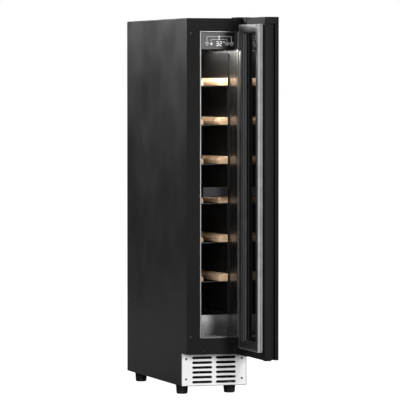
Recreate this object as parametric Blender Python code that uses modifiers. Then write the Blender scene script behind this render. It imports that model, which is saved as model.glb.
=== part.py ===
"""A slim built-in wine cooler for a 150 mm kitchen gap, with its door standing open at a right angle.

Sizes are in millimetres, and the helpers turn them into metres. X runs to the right across the front, Y runs
back from the cabinet's front plane, and Z runs up from the floor. The cabinet's pieces hang on one empty. The
door's pieces are laid out as if the door were shut, and hang on an empty on the hinge axis that is turned by
DOOR_OPEN.
"""

import math

import bmesh
import bpy
from mathutils import Matrix

MM = 0.001
GAP = 0.3
CUT = 2.0

# Cabinet
WIDTH = 148.0
HEIGHT = 820.0
DEPTH = 468.0
HALF = WIDTH / 2
SHEET = 1.0
FRONT_SHEET = 1.2
FRONT_BOTTOM = 92.9
FRAME_FOLD_DEPTH = 14.0
SIDE_BOTTOM = 21.4
KICK_RECESS = 40.0
TOP_FLANGE = 13.0
HUMP_TOP = 138.0
REAR_GRILLE_SETBACK = 4.0
PAN_Z = (21.7, 23.2)
PAN_FLANGE = 14.0
KICK_SLOT = (45.2, 5.5)
KICK_SLOT_X = 26.9
KICK_SLOT_Z = [29.7 + 10.6 * row for row in range(6)]
REAR_SLOT = (54.0, 5.0)
REAR_SLOT_X = 34.0
REAR_SLOT_Z = [82.0 + 10.0 * row for row in range(5)]

# Opening, its bright trim and the cavity behind it
OPENING_HALF = 44.2
OPENING_Z = (128.0, 792.3)
TRIM_WIDTH = 3.0
TRIM_DEPTH = 8.0
LINER_HALF = 41.2
LINER_WALL = 2.2
LINER_FLOOR = 132.0
LINER_STEP_Y = 69.0
LINER_STEP_TOP = 173.0
LINER_TOP = 789.0
LINER_BACK = 430.0
LINER_RIM = 6.0
LINER_RIM_THICK = 1.6
FOAM_BOTTOM = 100.0
FOAM_SLOPE_Y = (60.0, 90.0)

# Control panel
PANEL_Y = 9.7
PANEL_THICK = 2.0
PANEL_BOTTOM = 753.0
HOUSING_BACK = 62.0
HOUSING_BOTTOM = 757.0
HOUSING_WALL = 2.0
LAMP_HALF = 30.0
LAMP_Y = (13.0, 35.0)
LAMP_THICK = 1.8

# Shelves: two rails that cradle a bottle, on a flat steel ladder
SHELF_COUNT = 6
SHELF_TOP_RAIL_Z = 674.5
SHELF_PITCH = 85.4
RAIL_X = (17.7, 38.7)
RAIL_HEIGHT = 16.2
RAIL_CHAMFER = 8.0
RAIL_Y = (62.0, 385.0)
LADDER_THICK = 1.5
LADDER_BAR = 10.0
LADDER_WINDOWS = 4
RACK_X = (39.0, 40.9)
RACK_FRONT = 65.0
RACK_LEDGE = 4.0
RACK_Z = (178.0, 745.0)

# The bar across the front of one shelf
BAR_SHELF = 4
BAR_HALF = 28.5
BAR_Y = (30.0, 38.0)
BAR_Z = (433.0, 454.0)
BAR_ARM = 3.0
BAR_TAB = (23.0, 32.0)
BAR_TAB_THICK = 1.5

# Evaporator bay at the back of the cavity
EVAPORATOR_COVER_Y = (395.0, 397.0)
EVAPORATOR_HALF = 37.0
EVAPORATOR_Z = (200.0, 770.0)
FIN_COUNT = 10
FIN_PITCH = 7.0
FIN_DEPTH = 7.0
FIN_THICK = 2.0
RETURN_SLOT_Z = [190.0 + 10.0 * row for row in range(4)]
CIRCULATION_FAN_Z = 640.0
CIRCULATION_FAN_R = 28.0
CIRCULATION_FAN_DEPTH = 17.7
FAN_BORE_GAP = 1.5
FAN_BORE_FLOOR = 3.0
BLADE_COUNT = 7
BLADE_PITCH = math.radians(24)
BLADE_HALF_THICK = 0.8
BLADE_ROOT = 2.0

# Door, laid out shut
DOOR_OPEN = math.radians(90)
DOOR_Z = (92.0, 820.0)
DOOR_Y = (-44.0, -13.0)
PIVOT = (68.5, -38.5)
PIN_R = 2.5
PIN_LENGTH = 12.0
GLASS_THICK = 3.1
GLASS_RIGHT = 61.0
WINDOW_HALF = 48.0
WINDOW_Z = (127.0, 787.0)
PULL_X = (-74.0, -60.0)
PULL_GROOVE_Y = (-36.4, -28.5)
PULL_GROOVE_DEPTH = 10.0
CAP_HEIGHT = 15.0
GASKET_HALF = 66.25
GASKET_Z = (108.5, 805.0)
GASKET_BAND = 17.0
GLASS_SPACER = 8.0
NOTCH_LEFT = 47.0
NOTCH_BOTTOM = 805.0
ARM_X = (48.0, 73.7)
BRACKET_THICK = 2.0
LOWER_ARM_THICK = 2.5

# Feet and machine compartment
FOOT_X = 54.4
FOOT_Y = (101.0, 422.0)
FOOT_TOP_R = 13.5
FOOT_BOTTOM_R = 12.2
STUD_R = 4.0
STUD_TOP = 52.0
BOSS_WALL = 3.5
COMPRESSOR_Y = 255.0
COMPRESSOR_R = 50.0
COMPRESSOR_PLATE_Z = (35.0, 37.5)
TRAY_HALF = 45.0
TRAY_Z = (124.0, 134.0)
TRAY_WALL = 2.0
COIL_Y = 62.0
COIL_HALF = 40.0
COIL_RUNS = 6
COIL_PITCH = 11.0
COIL_R = 2.4
CONDENSER_FAN_Y = 150.0
CONDENSER_FAN_Z = 70.0
CONDENSER_FAN_R = 35.0
CONDENSER_FAN_DEPTH = 20.0
BOARD_BOX = ((-62.0, -16.0), (345.0, 405.0), (40.0, 104.0))
INLET_X = (20.0, 50.0)
INLET_Z = (40.0, 62.0)
INLET_DEPTH = 24.0
INLET_PINS = ((-7.0, 49.5), (0.0, 53.5), (7.0, 49.5))

# The back of the cabinet and the free edge of the open door are the ends of the whole object's depth.
DOOR_REACH = PIVOT[0] - PIVOT[1] + HALF
FRONT_PLANE_Y = -(DEPTH - DOOR_REACH) / 2

FINISHES = {
    "satin_black": ((0.030, 0.030, 0.032), 0.42, 0.0),
    "gloss_black": ((0.006, 0.006, 0.007), 0.08, 0.0),
    "steel": ((0.62, 0.62, 0.61), 0.28, 1.0),
    "galvanised": ((0.45, 0.46, 0.47), 0.45, 1.0),
    "trim": ((0.60, 0.60, 0.60), 0.30, 0.6),
    "wood": ((0.72, 0.47, 0.25), 0.55, 0.0),
    "dark_grey": ((0.055, 0.055, 0.058), 0.50, 0.0),
    "foam": ((0.78, 0.70, 0.42), 0.90, 0.0),
    "aluminium": ((0.75, 0.76, 0.77), 0.35, 1.0),
    "coil_black": ((0.02, 0.02, 0.02), 0.45, 0.0),
    "glass": ((0.020, 0.022, 0.024), 0.03, 0.0),
    "lens": ((0.90, 0.90, 0.86), 0.35, 0.0),
    "rubber": ((0.012, 0.012, 0.012), 0.70, 0.0),
    "gasket": ((0.16, 0.16, 0.165), 0.55, 0.0),
}

PLANES = {"X": (1, 2, 0), "Y": (0, 2, 1), "Z": (0, 1, 2)}
TURNS = {"X": (math.pi / 2, 0, math.pi / 2), "Y": (math.pi / 2, 0, 0), "Z": (0, 0, 0)}

parts = None
cutters = None
frames = {}


def clear_scene():
    for obj in list(bpy.data.objects):
        bpy.data.objects.remove(obj, do_unlink=True)


def make_collection(name):
    collection = bpy.data.collections.new(name)
    bpy.context.scene.collection.children.link(collection)
    return collection


def make_frame(name, origin, turn=0.0):
    """An empty at a point of the cabinet's own frame, with the point that its children are measured from."""
    empty = bpy.data.objects.new(name, None)
    empty.location = (origin[0] * MM, FRONT_PLANE_Y * MM + origin[1] * MM, origin[2] * MM)
    empty.rotation_euler.z = turn
    parts.objects.link(empty)
    frames[name] = (empty, origin)


def make_material(name, finish):
    colour, roughness, metallic = FINISHES[finish]
    material = bpy.data.materials.new(name + "_finish")
    material.use_nodes = True
    shader = material.node_tree.nodes["Principled BSDF"]
    shader.inputs["Base Color"].default_value = (*colour, 1.0)
    shader.inputs["Roughness"].default_value = roughness
    shader.inputs["Metallic"].default_value = metallic
    material.diffuse_color = (*colour, 1.0)
    return material


def add_object(name, mesh, centre, finish, frame, smooth=False):
    """Links a mesh as a part, or as a cutter when it has no finish, with its origin at centre."""
    obj = bpy.data.objects.new(name, mesh)
    empty, origin = frames[frame]
    obj.parent = empty
    obj.location = [(c - o) * MM for c, o in zip(centre, origin)]
    if smooth:
        mesh.shade_smooth()
        mesh.set_sharp_from_angle(angle=math.radians(35))
    if finish is None:
        cutters.objects.link(obj)
        obj.hide_render = True
        obj.display_type = "WIRE"
    else:
        parts.objects.link(obj)
        mesh.materials.append(make_material(name, finish))
    return obj


def box(name, x, y, z, finish=None, frame="cabinet", bevel=0.0):
    """A box between two values on each axis."""
    spans = [sorted(pair) for pair in (x, y, z)]
    bm = bmesh.new()
    bmesh.ops.create_cube(bm, size=1.0)
    bmesh.ops.scale(bm, vec=[(high - low) * MM for low, high in spans], verts=bm.verts)
    mesh = bpy.data.meshes.new(name)
    bm.to_mesh(mesh)
    bm.free()
    centre = [(low + high) / 2 for low, high in spans]
    obj = add_object(name, mesh, centre, finish, frame)
    if bevel:
        round_edges(obj, bevel)
    return obj


def round_edges(obj, width, segments=2):
    modifier = obj.modifiers.new("round_edges", "BEVEL")
    modifier.width = width * MM
    modifier.segments = segments
    modifier.limit_method = "ANGLE"


def cylinder(name, centre, radius, span, finish=None, frame="cabinet", along="Z", sides=24):
    """A cylinder along an axis. Centre gives the two other coordinates, in X, Y, Z order."""
    bm = bmesh.new()
    bmesh.ops.create_cone(
        bm,
        cap_ends=True,
        segments=sides,
        radius1=radius * MM,
        radius2=radius * MM,
        depth=(span[1] - span[0]) * MM,
    )
    mesh = bpy.data.meshes.new(name)
    bm.to_mesh(mesh)
    bm.free()
    obj = add_object(name, mesh, middle_of(centre, span, along), finish, frame, smooth=True)
    obj.rotation_euler = TURNS[along]
    return obj


def middle_of(centre, span, along):
    first, second, third = PLANES[along]
    point = [0.0, 0.0, 0.0]
    point[first], point[second] = centre
    point[third] = (span[0] + span[1]) / 2
    return point


def prism(name, outline, span, finish=None, frame="cabinet", along="Z"):
    """A flat outline, given by the two coordinates across an axis, drawn out along that axis."""
    curve = bpy.data.curves.new(name, "CURVE")
    curve.dimensions = "2D"
    curve.fill_mode = "BOTH"
    curve.extrude = (span[1] - span[0]) / 2 * MM
    spline = curve.splines.new("POLY")
    spline.points.add(len(outline) - 1)
    for point, (u, v) in zip(spline.points, outline):
        point.co = (u * MM, v * MM, 0.0, 1.0)
    spline.use_cyclic_u = True
    guide = bpy.data.objects.new(name + "_guide", curve)
    mesh = mesh_of_curve(guide)
    mesh.name = name
    obj = add_object(name, mesh, middle_of((0.0, 0.0), span, along), finish, frame)
    obj.rotation_euler = TURNS[along]
    return obj


def mesh_of_curve(guide):
    """The welded mesh of a curve object, which is removed."""
    bpy.context.scene.collection.objects.link(guide)
    bpy.context.view_layer.update()
    graph = bpy.context.evaluated_depsgraph_get()
    mesh = bpy.data.meshes.new_from_object(guide.evaluated_get(graph))
    bpy.data.objects.remove(guide, do_unlink=True)
    bm = bmesh.new()
    bm.from_mesh(mesh)
    bmesh.ops.remove_doubles(bm, verts=bm.verts, dist=0.001 * MM)
    bmesh.ops.recalc_face_normals(bm, faces=bm.faces)
    bm.to_mesh(mesh)
    bm.free()
    return mesh


def tube(name, points, radius, finish, frame="cabinet"):
    """A round tube through points of the cabinet's frame."""
    curve = bpy.data.curves.new(name, "CURVE")
    curve.dimensions = "3D"
    curve.bevel_depth = radius * MM
    curve.bevel_resolution = 2
    curve.use_fill_caps = True
    spline = curve.splines.new("POLY")
    spline.points.add(len(points) - 1)
    for point, place in zip(spline.points, points):
        point.co = (*[c * MM for c in place], 1.0)
    mesh = mesh_of_curve(bpy.data.objects.new(name + "_guide", curve))
    mesh.name = name
    return add_object(name, mesh, (0.0, 0.0, 0.0), finish, frame, smooth=True)


def turned(name, profile, centre, finish, frame="cabinet", steps=24):
    """A profile of (radius, height) points, listed down its outer side, turned round Z at centre."""
    mesh = bpy.data.meshes.new(name)
    points = [(radius * MM, 0.0, height * MM) for radius, height in profile]
    mesh.from_pydata(points, [(i, i + 1) for i in range(len(points) - 1)], [])
    obj = add_object(name, mesh, centre, finish, frame)
    screw = obj.modifiers.new("turn", "SCREW")
    screw.steps = steps
    screw.render_steps = steps
    screw.use_merge_vertices = True
    screw.merge_threshold = 0.01 * MM
    return obj


def combine(obj, operation, others):
    for other in others:
        modifier = obj.modifiers.new(operation.lower(), "BOOLEAN")
        modifier.operation = operation
        modifier.object = other
    return obj


def cut(obj, *others):
    return combine(obj, "DIFFERENCE", others)


def join(obj, *others):
    return combine(obj, "UNION", others)


def wider(span, by):
    return (span[0] - by, span[1] + by)


def mirrored(outline):
    """The same outline on the other side of the middle, still listed the same way round."""
    return [(-x, z) for x, z in reversed(outline)]


def slot_outline(centre, length, height, arc_steps=5):
    """A slot with round ends, as points in its own plane."""
    radius = height / 2
    points = []
    for end in (1, -1):
        for i in range(arc_steps + 1):
            angle = math.pi * (i / arc_steps - 0.5)
            u = end * (length / 2 - radius + radius * math.cos(angle))
            points.append((centre[0] + u, centre[1] + end * radius * math.sin(angle)))
    return points


def slots(name, centres, length, height, y):
    """Cutters for a set of slots in a sheet that faces forward or back."""
    return [
        prism(f"{name}_{i}", slot_outline(centre, length, height), wider(y, CUT), along="Y")
        for i, centre in enumerate(centres)
    ]


def build_shell():
    inner = HALF - SHEET - GAP
    top_of_sides = HEIGHT - SHEET - GAP
    front = FRONT_SHEET + GAP
    behind_kick = KICK_RECESS + FRONT_SHEET + GAP
    side = [
        (front, FRONT_BOTTOM + GAP),
        (behind_kick, FRONT_BOTTOM + GAP),
        (behind_kick, SIDE_BOTTOM),
        (DEPTH, SIDE_BOTTOM),
        (DEPTH, top_of_sides),
        (front, top_of_sides),
    ]
    prism("left_side_panel", side, (-HALF, SHEET - HALF), "satin_black", along="X")
    prism("right_side_panel", side, (HALF - SHEET, HALF), "satin_black", along="X")

    flange_bottom = HEIGHT - TOP_FLANGE
    right_half = [
        (inner - SHEET, HEIGHT - SHEET),
        (inner - SHEET, flange_bottom),
        (inner, flange_bottom),
        (inner, HEIGHT - SHEET),
        (HALF, HEIGHT - SHEET),
        (HALF, HEIGHT),
    ]
    prism("top_panel", right_half + mirrored(right_half), (front, DEPTH), "satin_black", along="Y")

    back_half = inner - SHEET - GAP
    back_y = (DEPTH - FRONT_SHEET, DEPTH)
    box("back_panel", (-back_half, back_half), back_y, (HUMP_TOP, top_of_sides), "galvanised")
    build_rear_grille(back_half)
    build_base_pan(back_half)
    build_front_frame()
    build_kick_grille()


def build_rear_grille(half):
    back = DEPTH - REAR_GRILLE_SETBACK
    y = (back - FRONT_SHEET, back)
    grille = box("rear_grille", (-half, half), y, (SIDE_BOTTOM + GAP, HUMP_TOP - GAP), "galvanised")
    centres = [(x, z) for z in REAR_SLOT_Z for x in (-REAR_SLOT_X, REAR_SLOT_X)]
    cut(grille, *slots("rear_slot", centres, *REAR_SLOT, y))
    cut(grille, box("inlet_cutout", wider(INLET_X, GAP), wider(y, CUT), wider(INLET_Z, GAP)))


def build_base_pan(half):
    back = DEPTH - REAR_GRILLE_SETBACK - FRONT_SHEET - GAP
    front = KICK_RECESS + FRONT_SHEET + GAP
    low, high = PAN_Z
    flange_top = low + PAN_FLANGE
    # The sides stop behind the kick plate's folds.
    half = half - SHEET - GAP
    outline = [
        (-half, flange_top),
        (-half, low),
        (half, low),
        (half, flange_top),
        (half - SHEET, flange_top),
        (half - SHEET, high),
        (SHEET - half, high),
        (SHEET - half, flange_top),
    ]
    pan = prism("base_pan", outline, (front, back), "galvanised", along="Y")
    for i, (x, y) in enumerate(foot_places()):
        span = (low + 0.5, low + PAN_FLANGE - 3.0)
        join(pan, cylinder(f"foot_boss_{i}", (x, y), STUD_R + BOSS_WALL, span, sides=16))
    for i, (x, y) in enumerate(foot_places()):
        span = (low - CUT, low + PAN_FLANGE)
        cut(pan, cylinder(f"foot_hole_{i}", (x, y), STUD_R + GAP, span, sides=16))


def foot_places():
    return [(x, y) for y in FOOT_Y for x in (-FOOT_X, FOOT_X)]


def build_front_frame():
    y = (0.0, FRONT_SHEET)
    frame = box("front_frame", (-HALF, HALF), y, (FRONT_BOTTOM, HEIGHT), "satin_black")
    fold = HALF - SHEET - GAP - SHEET - GAP
    for side, name in ((-1, "left"), (1, "right")):
        x = (side * (fold - SHEET), side * fold)
        z = (FRONT_BOTTOM + 7.0, HEIGHT - 20.0)
        join(frame, box(f"frame_fold_{name}", x, (0.5, FRAME_FOLD_DEPTH), z))
    under = (FRONT_BOTTOM, FRONT_BOTTOM + FRONT_SHEET)
    join(frame, box("frame_underside", (-fold, fold), (0.5, KICK_RECESS - 2.0), under))
    opening = OPENING_HALF + GAP
    cut(frame, box("frame_opening", (-opening, opening), wider(y, CUT), wider(OPENING_Z, GAP)))

    trim_y = (0.0, TRIM_DEPTH)
    trim = box("opening_trim", (-OPENING_HALF, OPENING_HALF), trim_y, OPENING_Z, "trim")
    clear = OPENING_HALF - TRIM_WIDTH
    cut(trim, box("trim_opening", (-clear, clear), wider(trim_y, CUT), wider(OPENING_Z, -TRIM_WIDTH)))


def build_kick_grille():
    y = (KICK_RECESS, KICK_RECESS + FRONT_SHEET)
    top = FRONT_BOTTOM - GAP
    grille = box("kick_grille", (-HALF, HALF), y, (SIDE_BOTTOM, top), "steel")
    fold = HALF - SHEET - GAP
    for side, name in ((-1, "left"), (1, "right")):
        x = (side * (fold - SHEET), side * fold)
        join(grille, box(f"kick_fold_{name}", x, (y[0] + 0.5, y[1] + 9.0), (SIDE_BOTTOM + 1.0, top - 1.0)))
    centres = [(x, z) for z in KICK_SLOT_Z for x in (-KICK_SLOT_X, KICK_SLOT_X)]
    cut(grille, *slots("kick_slot", centres, *KICK_SLOT, y))


def build_cavity():
    front = TRIM_DEPTH + GAP
    outer_half = LINER_HALF + LINER_WALL
    outer = liner_outline(front, LINER_WALL)
    liner = prism("inner_liner", outer, (-outer_half, outer_half), "gloss_black", along="X")
    rim = wider((LINER_FLOOR, LINER_TOP), LINER_WALL + LINER_RIM)
    rim_half = outer_half + LINER_RIM
    join(liner, box("liner_rim", (-rim_half, rim_half), (front, front + LINER_RIM_THICK), rim))
    space = liner_outline(front - CUT, 0.0)
    cut(liner, prism("liner_space", space, (-LINER_HALF, LINER_HALF), along="X"))

    build_foam(outer_half)
    build_racks()
    build_evaporator_bay()


def liner_outline(front, wall):
    """The cavity's side view, grown by wall on every side but the front."""
    step_y = LINER_STEP_Y + wall
    return [
        (front, LINER_FLOOR - wall),
        (step_y, LINER_FLOOR - wall),
        (step_y, LINER_STEP_TOP - wall),
        (LINER_BACK + wall, LINER_STEP_TOP - wall),
        (LINER_BACK + wall, LINER_TOP + wall),
        (front, LINER_TOP + wall),
    ]


def build_foam(liner_half):
    half = HALF - 2 * SHEET - 2 * GAP
    front = FRAME_FOLD_DEPTH + GAP
    back = DEPTH - FRONT_SHEET - GAP
    top = HEIGHT - SHEET - GAP
    slope_front, slope_back = FOAM_SLOPE_Y
    outline = [
        (front, FOAM_BOTTOM),
        (slope_front, FOAM_BOTTOM),
        (slope_back, HUMP_TOP),
        (back, HUMP_TOP),
        (back, top),
        (front, top),
    ]
    foam = prism("insulation_foam", outline, (-half, half), "foam", along="X")
    space = liner_outline(front - CUT, LINER_WALL + GAP)
    space_half = liner_half + GAP
    cut(foam, prism("foam_space", space, (-space_half, space_half), along="X"))


def shelf_bottoms():
    return [SHELF_TOP_RAIL_Z - SHELF_PITCH * i for i in range(SHELF_COUNT)]


def build_racks():
    """A plate on each wall, with a ledge under the edge of each shelf."""
    inner, outer = RACK_X
    outline = [(inner, RACK_Z[0])]
    for bottom in reversed(shelf_bottoms()):
        ledge_top = bottom - 2 * GAP - LADDER_THICK
        outline += [
            (inner, ledge_top - 3.0),
            (inner - RACK_LEDGE, ledge_top - 2.0),
            (inner - RACK_LEDGE, ledge_top),
            (inner, ledge_top),
        ]
    outline += [(inner, RACK_Z[1]), (outer, RACK_Z[1]), (outer, RACK_Z[0])]
    y = (RACK_FRONT, EVAPORATOR_COVER_Y[0] - GAP)
    prism("right_shelf_rack", outline, y, "gloss_black", along="Y")
    prism("left_shelf_rack", mirrored(outline), y, "gloss_black", along="Y")


def build_evaporator_bay():
    half = LINER_HALF - GAP
    y = EVAPORATOR_COVER_Y
    cover_z = (LINER_STEP_TOP + GAP, LINER_TOP - GAP)
    cover = box("evaporator_cover", (-half, half), y, cover_z, "gloss_black")
    fan_z = CIRCULATION_FAN_Z
    # The fan blows through a ring of slots, and the air goes back in through rows of slots near the floor.
    fan_slots = [(0.0, fan_z + 9.0 * row) for row in range(-2, 3)]
    cut(cover, *slots("fan_slot", fan_slots, 46.0, 5.0, y))
    return_slots = [(0.0, z) for z in RETURN_SLOT_Z]
    cut(cover, *slots("return_slot", return_slots, 56.0, 5.0, y))

    start = y[1] + GAP
    span = (start, start + CIRCULATION_FAN_DEPTH)
    build_fan("circulation_fan", "frame", fan_z, CIRCULATION_FAN_R, span, 10.0)
    build_evaporator_plate()


def build_evaporator_plate():
    """A plate with a row of upright fins on its front."""
    back = LINER_BACK - GAP
    front = back - FIN_THICK
    outline = [(-EVAPORATOR_HALF, back), (-EVAPORATOR_HALF, front)]
    first = -(FIN_PITCH * (FIN_COUNT - 1) + FIN_THICK) / 2
    for i in range(FIN_COUNT):
        left = first + FIN_PITCH * i
        right = left + FIN_THICK
        outline += [(left, front), (left, front - FIN_DEPTH), (right, front - FIN_DEPTH), (right, front)]
    outline += [(EVAPORATOR_HALF, front), (EVAPORATOR_HALF, back)]
    prism("evaporator_plate", outline, EVAPORATOR_Z, "aluminium", along="Z")


def build_fan(name, housing, z, radius, span, hub_radius):
    """A square housing with a round bore that is open to the front, two vents to the back, and a rotor."""
    half = radius + 6.0
    frame = box(f"{name}_{housing}", (-half, half), span, (z - half, z + half), "dark_grey")
    bore_y = (span[0] - CUT, span[1] - FAN_BORE_FLOOR)
    cut(frame, cylinder(f"{name}_bore", (0.0, z), radius + FAN_BORE_GAP, bore_y, along="Y"))
    vent_half = 0.7 * radius
    for side, end in ((-1, "low"), (1, "high")):
        vent_z = (z + side * 0.2 * radius, z + side * 0.87 * radius)
        cut(frame, box(f"{name}_vent_{end}", (-vent_half, vent_half), wider(span, CUT), vent_z))
    rotor(f"{name}_rotor", (0.0, z), radius, (span[0] + 1.5, span[1] - FAN_BORE_FLOOR - 1.0), hub_radius)


def rotor(name, centre, radius, span, hub_radius):
    """A fan rotor that turns about Y: a hub with pitched blades."""
    hub = cylinder(name, centre, hub_radius, span, "dark_grey", along="Y")
    middle = middle_of(centre, span, "Y")
    half_chord = 0.31 * radius
    root = hub_radius - BLADE_ROOT
    # The corners of a blade's straight tip lie on the rotor's radius.
    reach = math.sqrt(radius**2 - half_chord**2) - root
    pitch = Matrix.Rotation(BLADE_PITCH, 4, "Z")
    outward = Matrix.Translation((0.0, 0.0, (root + reach / 2) * MM))
    for i in range(BLADE_COUNT):
        sides = ((-half_chord, half_chord), (-BLADE_HALF_THICK, BLADE_HALF_THICK), (0.0, reach))
        blade = box(f"{name}_blade_{i}", *sides)
        # The mesh itself is pitched and moved out to the hub, so that its object only turns round the axis.
        blade.data.transform(outward @ pitch)
        blade.location = [c * MM for c in middle]
        blade.rotation_euler.y = 2 * math.pi * i / BLADE_COUNT
        join(hub, blade)
    return hub


def build_control_panel():
    half = LINER_HALF - GAP
    top = LINER_TOP - GAP
    panel_y = (PANEL_Y, PANEL_Y + PANEL_THICK)
    box("touch_panel", (-half, half), panel_y, (PANEL_BOTTOM, top), "gloss_black")
    y = (panel_y[1] + GAP, HOUSING_BACK)
    housing = box("control_housing", (-half, half), y, (HOUSING_BOTTOM, top), "dark_grey")
    inside = (HOUSING_WALL - half, half - HOUSING_WALL)
    pocket_y = (y[0] - CUT, y[1] - HOUSING_WALL)
    cut(housing, box("control_pocket", inside, pocket_y, (HOUSING_BOTTOM + HOUSING_WALL, top - HOUSING_WALL)))
    # The lens stays above the panel's lower edge, so that only its light shows from the front.
    lens_z = (HOUSING_BOTTOM - GAP - LAMP_THICK, HOUSING_BOTTOM - GAP)
    box("lamp_lens", (-LAMP_HALF, LAMP_HALF), LAMP_Y, lens_z, "lens", bevel=0.5)


def build_shelves():
    for number, bottom in enumerate(shelf_bottoms(), start=1):
        inner, outer = RAIL_X
        top = bottom + RAIL_HEIGHT
        outline = [
            (inner, bottom),
            (outer, bottom),
            (outer, top),
            (inner + RAIL_CHAMFER, top),
            (inner, top - RAIL_CHAMFER),
        ]
        prism(f"shelf_{number}_right_rail", outline, RAIL_Y, "wood", along="Y")
        prism(f"shelf_{number}_left_rail", mirrored(outline), RAIL_Y, "wood", along="Y")
        build_ladder(number, bottom - GAP)
        if number == BAR_SHELF:
            build_front_rail(number, top)


def build_ladder(number, top):
    """A flat steel plate under both rails, open between them except for its cross bars."""
    y = wider(RAIL_Y, -1.0)
    z = (top - LADDER_THICK, top)
    ladder = box(f"shelf_{number}_ladder", (-RAIL_X[1], RAIL_X[1]), y, z, "galvanised")
    window = (y[1] - y[0] - (LADDER_WINDOWS + 1) * LADDER_BAR) / LADDER_WINDOWS
    half = RAIL_X[0] - 0.5
    for i in range(LADDER_WINDOWS):
        start = y[0] + LADDER_BAR + i * (window + LADDER_BAR)
        cut(ladder, box(f"ladder_window_{number}_{i}", (-half, half), (start, start + window), wider(z, CUT)))


def build_front_rail(number, rail_top):
    """The bar in front of one shelf, on two arms that end in tabs against the rails' front ends."""
    bar = box(f"shelf_{number}_front_rail", (-BAR_HALF, BAR_HALF), BAR_Y, BAR_Z, "dark_grey", bevel=1.5)
    tab_back = RAIL_Y[0] - GAP
    tab_y = (tab_back - BAR_TAB_THICK, tab_back)
    arm_y = (BAR_Y[1] - 3.0, tab_back)
    arm_top = rail_top + 5.0
    for side, name in ((-1, "left"), (1, "right")):
        arm_x = (side * (BAR_HALF - BAR_ARM - 0.5), side * (BAR_HALF - 0.5))
        join(bar, box(f"front_rail_arm_{name}", arm_x, arm_y, (rail_top - 1.0, arm_top)))
        tab_x = [side * x for x in BAR_TAB]
        join(bar, box(f"front_rail_tab_{name}", tab_x, tab_y, (rail_top - 2.0, arm_top)))


def build_hinges():
    """Two fixed brackets, each ending in a door pin. The upper arm lies in a notch in the door's corner."""
    boss_r = HALF - GAP - PIVOT[0]
    arm_y = (PIVOT[1] + 0.5, -GAP)
    web_y = (-3.0, -GAP)

    low = NOTCH_BOTTOM + 2 * GAP
    top = HEIGHT - GAP
    plate = (HEIGHT + GAP, HEIGHT + GAP + BRACKET_THICK)
    upper = box("hinge_bracket_top", (36.0, 72.0), (web_y[0], 28.0), plate, "satin_black")
    join(upper, box("top_web", ARM_X, web_y, (low, plate[0] + 1.0)))
    join(upper, box("top_arm", ARM_X, arm_y, (low, top)))
    join(upper, cylinder("top_boss", PIVOT, boss_r, (low, top)))
    join(upper, cylinder("top_pin", PIVOT, PIN_R, (NOTCH_BOTTOM - PIN_LENGTH, low + 1.0)))

    arm_top = DOOR_Z[0] - GAP
    arm_z = (arm_top - LOWER_ARM_THICK, arm_top)
    lower = box("hinge_bracket_bottom", ARM_X, (arm_y[0], 30.0), arm_z, "satin_black")
    join(lower, box("bottom_pad", (50.0, 70.0), (2.0, 29.0), (arm_z[0] + 1.0, FRONT_BOTTOM - GAP)))
    join(lower, cylinder("bottom_boss", PIVOT, boss_r, arm_z))
    join(lower, cylinder("bottom_pin", PIVOT, PIN_R, (arm_z[0] + 1.0, DOOR_Z[0] + PIN_LENGTH)))


def build_door():
    glass_back = DOOR_Y[0] + GLASS_THICK
    frame_y = (glass_back + GAP, DOOR_Y[1])
    frame_left = PULL_X[1] + GAP
    frame = box("door_frame", (frame_left, HALF), frame_y, DOOR_Z, "satin_black", "door")
    stile_x = (GLASS_RIGHT + GAP, HALF)
    join(frame, box("door_stile", stile_x, (DOOR_Y[0], frame_y[0] + 1.0), DOOR_Z, frame="door"))
    window_x = (-WINDOW_HALF, WINDOW_HALF)
    cut(frame, box("door_window", window_x, wider(frame_y, CUT), WINDOW_Z, frame="door"))
    notch = box(
        "hinge_notch",
        (NOTCH_LEFT, HALF + CUT),
        wider(DOOR_Y, CUT),
        (NOTCH_BOTTOM, DOOR_Z[1] + CUT),
        frame="door",
    )
    cut(frame, notch)
    hole_r = PIN_R + GAP
    upper_hole = (NOTCH_BOTTOM - PIN_LENGTH - GAP, NOTCH_BOTTOM + CUT)
    lower_hole = (DOOR_Z[0] - CUT, DOOR_Z[0] + PIN_LENGTH + GAP)
    cut(frame, cylinder("upper_pin_hole", PIVOT, hole_r, upper_hole, frame="door"))
    cut(frame, cylinder("lower_pin_hole", PIVOT, hole_r, lower_hole, frame="door"))

    box("outer_glass", (-HALF, GLASS_RIGHT), (DOOR_Y[0], glass_back), DOOR_Z, "glass", "door")
    build_inner_glazing(frame_y[0])
    build_pull(frame_y[0])

    gasket_y = (DOOR_Y[1] + GAP, -GAP)
    gasket_x = (-GASKET_HALF, GASKET_HALF)
    gasket = box("door_gasket", gasket_x, gasket_y, GASKET_Z, "gasket", "door")
    inside_x = wider(gasket_x, -GASKET_BAND)
    inside_z = wider(GASKET_Z, -GASKET_BAND)
    cut(gasket, box("gasket_inside", inside_x, wider(gasket_y, CUT), inside_z, frame="door"))


def build_inner_glazing(spacer_front):
    pane_x = wider((-WINDOW_HALF, WINDOW_HALF), -GAP)
    pane_z = wider(WINDOW_Z, -GAP)
    pane_y = (DOOR_Y[1] - 4.0, DOOR_Y[1] - GAP)
    box("inner_glass", pane_x, pane_y, pane_z, "glass", "door")
    spacer_y = (spacer_front, pane_y[0] - GAP)
    spacer = box("glass_spacer", pane_x, spacer_y, pane_z, "dark_grey", "door")
    inside = box(
        "spacer_inside",
        wider(pane_x, -GLASS_SPACER),
        wider(spacer_y, CUT),
        wider(pane_z, -GLASS_SPACER),
        frame="door",
    )
    cut(spacer, inside)


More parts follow.
